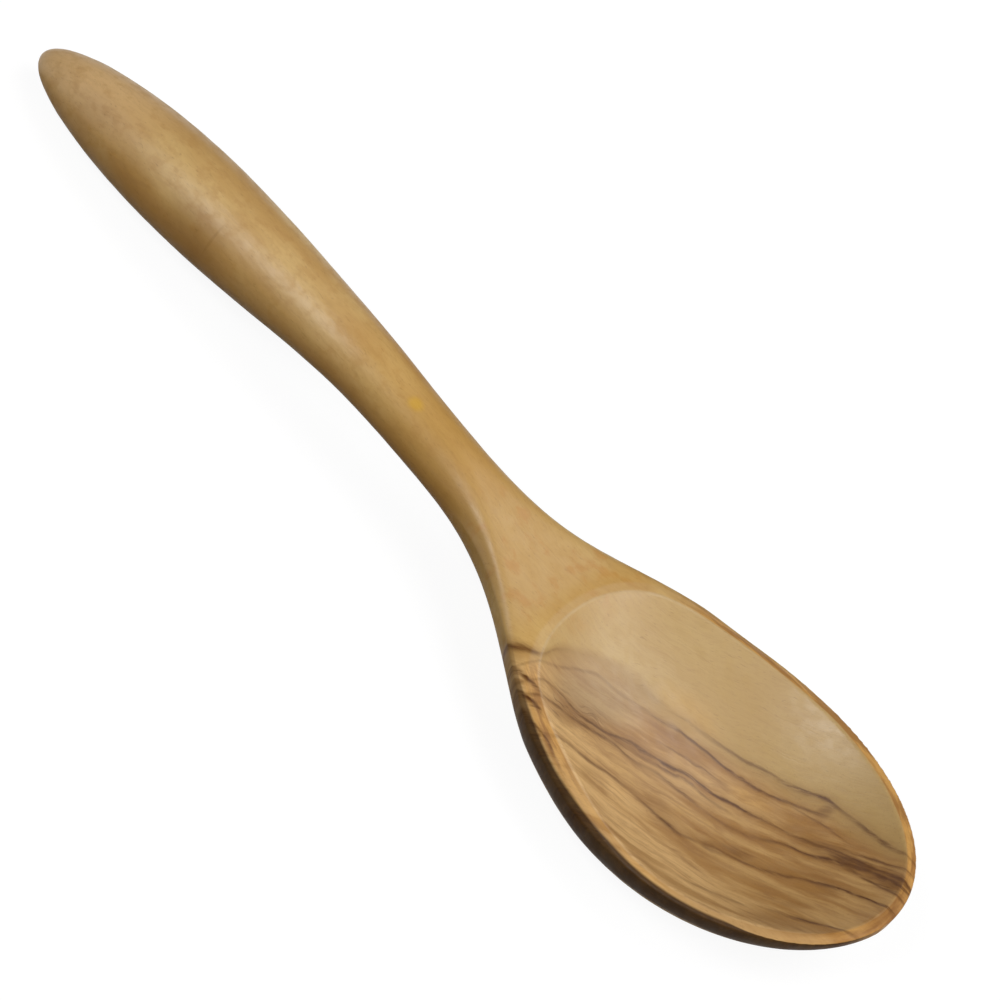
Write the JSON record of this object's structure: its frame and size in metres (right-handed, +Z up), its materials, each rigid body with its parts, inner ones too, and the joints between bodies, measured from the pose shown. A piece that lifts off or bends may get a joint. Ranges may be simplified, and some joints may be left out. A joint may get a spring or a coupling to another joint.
{
  "type": "wooden spoon",
  "caption": "Carved wooden cooking spoon with a swelling round grip, a slim neck and a shallow oval bowl.",
  "frame": {"origin": "on the table, under the middle of the spoon's length and width", "axes": "+X from the handle's tip to the bowl's tip, +Z up out of the hollow, +Y to the left"},
  "size_m": [0.2548, 0.065, 0.0252],
  "materials": {
    "olive_wood": "sanded and oiled, satin, with dark wavy streaks of heartwood through the bowl"
  },
  "bodies": {
    "root": {"spoon": "olive_wood"}
  },
  "joints": []
}
